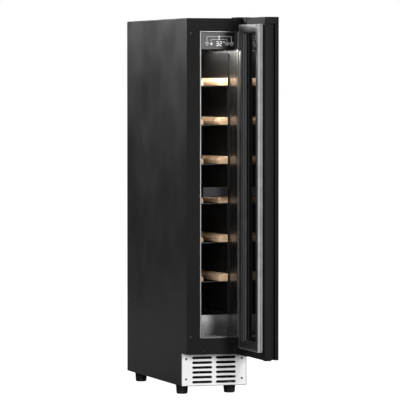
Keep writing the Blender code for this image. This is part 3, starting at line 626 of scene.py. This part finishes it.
def build_rails(m):
    """Each rail: a beech bar with eased edges and a deep chamfer where the bottle lies."""
    chamfer = 0.0080
    for number in range(1, 7):
        for side, sign in SIDES:
            node = f"shelf_{number}_{side}_rail"
            low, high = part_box(node)
            inner, outer = (low.x, high.x) if sign > 0 else (high.x, low.x)
            outline = [
                (inner, low.z), (outer, low.z), (outer, high.z),
                (inner + sign * chamfer, high.z), (inner, high.z - chamfer),
            ]
            if sign < 0:
                outline.reverse()
            bm = bmesh.new()
            prism(bm, outline, low.y, high.y, "Y")
            ease_edges(bm, 0.0009, 3)
            wood = beech(f"beech_{number}_{side}", number + (0.5 if side == "left" else 0.0))
            name = node + "_wood"
            keep(mesh_from(bm, name, 25.0), name, f"shelf_{number}", wood, [node])
        soften(f"shelf_{number}_ladder", 0.0003, m["shelf"])
    soften("shelf_4_front_rail", 0.0003, m["grey"])


def build_kick_edge_shade(m):
    """A dark bead along the lower plate's free edges, a painted shade where the sheet's rounded edge turns away
    from the light.
    """
    low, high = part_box("kick_grille")
    wide, proud, buried = 0.0010, 0.0004, 0.0002
    top = high.z - 0.0012
    outline = [
        (low.x, low.z), (high.x, low.z), (high.x, top), (high.x - wide, top),
        (high.x - wide, low.z + wide), (low.x + wide, low.z + wide), (low.x + wide, top), (low.x, top),
    ]
    bm = bmesh.new()
    prism(bm, outline, low.y - proud, low.y + buried, "Y")
    ease_edges(bm, 0.0002, 2)
    keep(mesh_from(bm, "kick_edge_shade_bead"), "kick_edge_shade_bead", "cabinet", m["edge"])


def build_step_cover(m):
    """The light folded sheet that covers the front of the raised floor."""
    riser_y, floor_z, top_z, half_width = 0.0690, 0.1328, 0.1730, 0.0412
    thick, fold = 0.0006, 0.0100
    back = riser_y - 0.0002
    under = top_z + 0.0001
    over = top_z + thick
    outline = [
        (back, floor_z), (back, under), (back + fold, under), (back + fold, over),
        (back - thick, over), (back - thick, floor_z),
    ]
    bm = bmesh.new()
    prism(bm, [(FRONT_Y + y, z) for y, z in outline], -half_width, half_width, "X")
    ease_edges(bm, 0.0002, 2)
    keep(mesh_from(bm, "step_cover"), "step_cover", "cabinet", m["step"])


def build_feet(m):
    """Each foot: a rubber pad, wider in its upper part, on a threaded stud."""
    pad_top = 21.1
    stud = [(0.0, 52.0), (3.4, 52.0)]
    crest, root, pitch = 4.0, 3.5, 1.2
    for i in range(24):
        z = 51.0 - i * pitch
        stud += [(crest, z), (root, z - pitch / 2)]
    pad = [
        (3.6, pad_top + 0.2), (12.6, pad_top), (13.3, pad_top - 0.4), (13.5, pad_top - 1.2),
        (13.5, pad_top - 4.0), (13.1, pad_top - 4.6), (12.3, 4.0), (11.9, 2.0), (10.9, 0.6), (9.8, 0.15),
        (8.0, 0.0), (0.0, 0.0),
    ]
    for name in ("front_left", "front_right", "rear_left", "rear_right"):
        node = f"foot_{name}"
        low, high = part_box(node)
        centre = (low + high) / 2
        bm = lathe([(r * MM, z * MM) for r, z in stud + pad], 56)
        bmesh.ops.translate(bm, vec=(centre.x, centre.y, 0.0), verts=bm.verts)
        piece = node + "_pad"
        keep(mesh_from(bm, piece, 50.0), piece, f"leg_{name}", m["foot"], [node])


def sweep_round(outline, corners, base, limit):
    """A profile of (inward, out) points in mm, swept round four mitred corners. Out stops at limit."""
    bm = bmesh.new()
    loops = []
    for y, z, inward_y, inward_z in corners:
        loop = []
        for inward, out in outline:
            x = base - min(out, limit) * MM
            loop.append(bm.verts.new((x, y + inward_y * inward * MM, z + inward_z * inward * MM)))
        loops.append(loop)
    count = len(outline)
    for first, second in zip(loops, loops[1:] + loops[:1]):
        for i in range(count):
            j = (i + 1) % count
            bm.faces.new((first[i], first[j], second[j], second[i]))
    bmesh.ops.recalc_face_normals(bm, faces=bm.faces)
    return bm


def build_gasket(m):
    """The door seal: dark bellows, two silver ribs along their outer side and a grey lip along the inner."""
    # With the door open the seal lies in the YZ plane, and its depth runs along -X from the door's face.
    low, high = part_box("door_gasket")
    corners = [
        (low.y, low.z, 1, 1), (high.y, low.z, -1, 1), (high.y, high.z, -1, -1), (low.y, high.z, 1, -1),
    ]
    bellows = [
        (3.0, 0.0), (3.0, 9.1), (1.8, 9.5), (1.8, 12.2), (2.3, 12.4), (14.6, 12.4),
        (15.8, 12.1), (16.6, 11.4), (16.9, 10.4), (16.2, 9.0), (15.2, 7.6), (16.0, 6.2), (17.0, 5.0),
        (16.2, 3.8), (15.0, 2.8), (15.0, 0.0),
    ]
    # The seal's own dark grey bellows shows in the narrow groove between the two ribs, and the ribs are parted
    # there so that it stands as painted shade in that groove.
    door_side = [(2.6, 2.4), (0.5, 2.4), (0.0, 2.9), (0.0, 4.6), (0.5, 5.0), (2.6, 5.0)]
    cabinet_side = [
        (2.6, 6.2), (0.5, 6.2), (0.0, 6.7), (0.0, 11.6), (0.3, 12.1),
        (0.9, 12.4), (1.6, 12.4), (1.6, 9.4), (2.6, 9.0),
    ]
    lip = [(16.9, 0.8), (16.9, 3.4), (17.3, 3.9), (18.0, 3.9), (18.4, 3.4), (18.4, 0.8)]
    for name, outline, material, replaced in (
        ("gasket_bellows", bellows, m["gasket"], ["door_gasket"]),
        ("gasket_rib_door_side", door_side, m["gasket_rib"], []),
        ("gasket_rib_cabinet_side", cabinet_side, m["gasket_rib"], []),
        ("gasket_inner_lip", lip, m["gasket_lip"], []),
    ):
        bm = sweep_round(outline, corners, high.x, (high.x - low.x) / MM)
        keep(mesh_from(bm, name, 32.0), name, "door", material, replaced)


def dress_door(m):
    soften("door_frame", 0.0008, m["door"])
    soften("finger_pull_profile", 0.0006, m["door"])
    soften("door_top_cap", 0.0008, m["door"])
    soften("door_bottom_cap", 0.0005, m["door"])
    soften("outer_glass", 0.0004, m["outer_glass"])
    soften("inner_glass", 0.0004, m["inner_glass"])
    soften("glass_spacer", 0.0, m["plastic"])
    build_gasket(m)
    for node in ("hinge_bracket_top", "hinge_bracket_bottom"):
        soften(node, 0.0005, m["bracket"])


def stroke(points, width, thickness, face_y):
    """A flat line on the control glass through (x, z) points, as a mesh that stands a little proud of it."""
    curve = bpy.data.curves.new("stroke", "CURVE")
    curve.dimensions = "3D"
    curve.bevel_depth = width / 2
    curve.bevel_resolution = 1
    curve.use_fill_caps = True
    spline = curve.splines.new("POLY")
    spline.points.add(len(points) - 1)
    for point, (x, z) in zip(spline.points, points):
        point.co = (x, z, 0.0, 1.0)
    obj = in_scene("stroke", curve)
    mesh = evaluated_mesh(obj)
    bpy.data.objects.remove(obj)
    mesh.transform(Matrix.Diagonal((1.0, 1.0, thickness / width, 1.0)))
    mesh.transform(Matrix.Translation((0.0, face_y, 0.0)) @ Matrix.Rotation(math.pi / 2, 4, "X"))
    return mesh


def joined(meshes, name):
    bm = bmesh.new()
    for mesh in meshes:
        bm.from_mesh(mesh)
        bpy.data.meshes.remove(mesh)
    return mesh_from(bm, name, 40.0)


def arc(centre, radius, start, end, steps=16):
    """Points of an arc, with its angles in degrees."""
    points = []
    for i in range(steps + 1):
        angle = math.radians(start + (end - start) * i / steps)
        points.append((centre[0] + radius * math.cos(angle), centre[1] + radius * math.sin(angle)))
    return points


def panel_mark(name, strokes, material):
    """One printed or lit mark on the control glass, of (points, width) strokes. A stroke is (x, z) points."""
    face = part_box("touch_panel")[0].y
    proud = 0.00016
    meshes = [stroke(points, width, proud, face) for points, width in strokes]
    keep(joined(meshes, name), name, "cabinet", material)


def digit_strokes(digit, left, middle_z):
    """The lit segments of one seven-segment digit."""
    segments = {
        "a": ((0, 2), (1, 2)), "b": ((1, 2), (1, 1)), "c": ((1, 1), (1, 0)), "d": ((0, 0), (1, 0)),
        "e": ((0, 0), (0, 1)), "f": ((0, 1), (0, 2)), "g": ((0, 1), (1, 1)),
    }
    lit = {"3": "abgcd", "2": "abged"}
    width, half_height, gap, thick = 0.0046, 0.0044, 0.00045, 0.00095
    strokes = []
    for key in lit[digit]:
        (x0, z0), (x1, z1) = segments[key]
        start = Vector((left + x0 * width, middle_z + (z0 - 1) * half_height))
        end = Vector((left + x1 * width, middle_z + (z1 - 1) * half_height))
        step = (end - start).normalized() * gap
        strokes.append(([tuple(start + step), tuple(end - step)], thick))
    return strokes


def build_control_panel(m):
    """The glass with its lit marks: four icons and a display in a row, and lines that pair the icons."""
    soften("touch_panel", 0.0003, m["control"])
    soften("control_housing", 0.0005, m["plastic"])
    soften("lamp_lens", 0.0, m["lamp"])
    thin = 0.00055
    row = 0.7649
    lamp_x, chill_x, down_x, up_x = -0.0255, -0.0157, 0.0196, 0.0297
    middle_x = 0.0019
    outer_z, inner_z = 0.7805, 0.7744
    icon_top = row + 0.0052
    panel_mark("panel_lines", [
        ([(lamp_x, icon_top), (lamp_x, outer_z), (up_x, outer_z), (up_x, icon_top)], thin),
        ([(chill_x, icon_top), (chill_x, inner_z), (down_x, inner_z), (down_x, icon_top)], thin),
        ([(middle_x, outer_z + 0.0022), (middle_x, inner_z - 0.0016)], thin * 2.2),
    ], m["mark"])

    panel_mark("icon_lamp", [
        (arc((lamp_x, row + 0.0008), 0.0028, -50, 230), thin * 1.3),
        ([(lamp_x - 0.0013, row - 0.0026), (lamp_x + 0.0013, row - 0.0026)], thin),
        ([(lamp_x - 0.0009, row - 0.0040), (lamp_x + 0.0009, row - 0.0040)], thin),
    ], m["mark"])

    flake = []
    arm = 0.0036
    for i in range(3):
        angle = math.radians(60 * i + 30)
        dx, dz = arm * math.cos(angle), arm * math.sin(angle)
        flake.append(([(chill_x - dx, row - dz), (chill_x + dx, row + dz)], thin))
    flake.append((arc((chill_x, row), 0.0017, 0, 360), thin * 0.8))
    panel_mark("icon_chill", flake, m["mark"])

    half, low, high = 0.0022, 0.0010, 0.0014
    for name, x, way in (("icon_down", down_x, -1), ("icon_up", up_x, 1)):
        arrow = [(x - half, row - way * low), (x, row + way * high), (x + half, row - way * low)]
        ring = arc((x, row), 0.0037, 0, 360, 28)
        panel_mark(name, [(arrow, thin * 1.2), (ring, thin * 0.8)], m["mark"])

    degree = (arc((0.0130, row + 0.0036), 0.0010, 0, 360, 14), 0.0005)
    digits = digit_strokes("3", -0.0046, row) + digit_strokes("2", 0.0030, row)
    panel_mark("display_digits", [*digits, degree], m["digit"])


# ---------------------------------------------------------------- stage


def area_light(name, place, target, size, power, colour=WHITE):
    light = bpy.data.lights.new(name, "AREA")
    light.shape = "RECTANGLE"
    light.size, light.size_y = size
    light.energy = power
    light.color = colour
    obj = in_scene(name, light)
    obj.location = place
    direction = Vector(target) - Vector(place)
    obj.rotation_euler = direction.to_track_quat("-Z", "Y").to_euler()


def camera_rays_only(tree, seen, otherwise):
    """A value that is one thing to the camera and another to all other rays."""
    path = tree.nodes.new("ShaderNodeLightPath")
    ranged = tree.nodes.new("ShaderNodeMapRange")
    ranged.inputs["To Min"].default_value = otherwise
    ranged.inputs["To Max"].default_value = seen
    tree.links.new(path.outputs["Is Camera Ray"], ranged.inputs["Value"])
    return ranged.outputs["Result"]


def build_backdrop():
    """A room and a floor that are plain white to the camera, and dim to every other ray."""
    world = bpy.data.worlds.new("studio")
    bpy.context.scene.world = world
    world.use_nodes = True
    background = world.node_tree.nodes["Background"]
    background.inputs["Color"].default_value = (*WHITE, 1.0)
    strength = camera_rays_only(world.node_tree, 1.0, ROOM_LIGHT)
    world.node_tree.links.new(strength, background.inputs["Strength"])

    bm = bmesh.new()
    bmesh.ops.create_grid(bm, x_segments=1, y_segments=1, size=FLOOR_HALF_WIDTH)
    floor = in_scene("floor", mesh_from(bm, "floor"))
    white = Shader("floor_white", FLOOR_TONE, 0.9, specular=0.0)
    white.set("Emission Color", (*WHITE, 1.0))
    white.link(camera_rays_only(white.tree, 1.0, 0.0), white.principled.inputs["Emission Strength"])
    floor.data.materials.append(white.material)


def build_lights():
    # The main light is a narrow tall box almost straight ahead, so the open door shades the cabinet's right
    # part.
    cabinet_middle = (0.0, FRONT_Y, 0.45)
    area_light("front_box", (0.47, FRONT_Y - 4.0, 0.95), cabinet_middle, (0.36, 1.7), 100.0)
    area_light("front_fill", (-2.0, FRONT_Y - 3.5, 1.3), cabinet_middle, (1.2, 1.6), 108.0)
    area_light("back_left_card", (-1.2, 2.2, 1.6), (-0.07, 0.1, 0.6), (1.0, 0.8), 60.0)
    area_light("right_fill", (3.2, -0.8, 1.6), (0.0, 0.0, 0.45), (1.6, 1.6), 50.0)
    area_light("rear_fill", (1.2, 3.4, 1.6), (0.0, 0.2, 0.45), (1.4, 1.6), 60.0)

    # The cooler's own lamp, and a weak wide glow behind it that stands for the light scattered under it.
    lens_low, lens_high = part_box("lamp_lens")
    lens_y = ((lens_low + lens_high) / 2).y
    glow_y = FRONT_Y + 0.16
    low_z = 0.2
    area_light("cavity_glow", (0.0, glow_y, lens_low.z - 0.004), (0.0, glow_y, low_z), (0.05, 0.16), 0.16,
               LAMP_WHITE)
    area_light("cavity_lamp", (0.0, lens_y, lens_low.z - 0.001), (0.0, lens_y, low_z), (0.056, 0.018), 0.46,
               LAMP_WHITE)


def build_camera():
    camera = bpy.data.cameras.new("camera")
    camera.lens = CAMERA_LENS
    camera.sensor_width = CAMERA_SENSOR
    camera.clip_end = CAMERA_REACH
    obj = in_scene("camera", camera)
    obj.location = CAMERA_PLACE
    obj.rotation_euler = (math.pi / 2 - CAMERA_PITCH, 0.0, -CAMERA_YAW)
    bpy.context.scene.camera = obj


def build_stage():
    bpy.context.scene.view_settings.view_transform = "Standard"
    build_backdrop()
    build_lights()
    build_camera()


def main():
    materials = make_materials()
    build_stage()
    dress_cabinet(materials)
    dress_machinery(materials)
    build_control_panel(materials)
    build_rails(materials)
    build_step_cover(materials)
    build_kick_edge_shade(materials)
    build_feet(materials)
    dress_door(materials)
    add_screws(materials)


main()
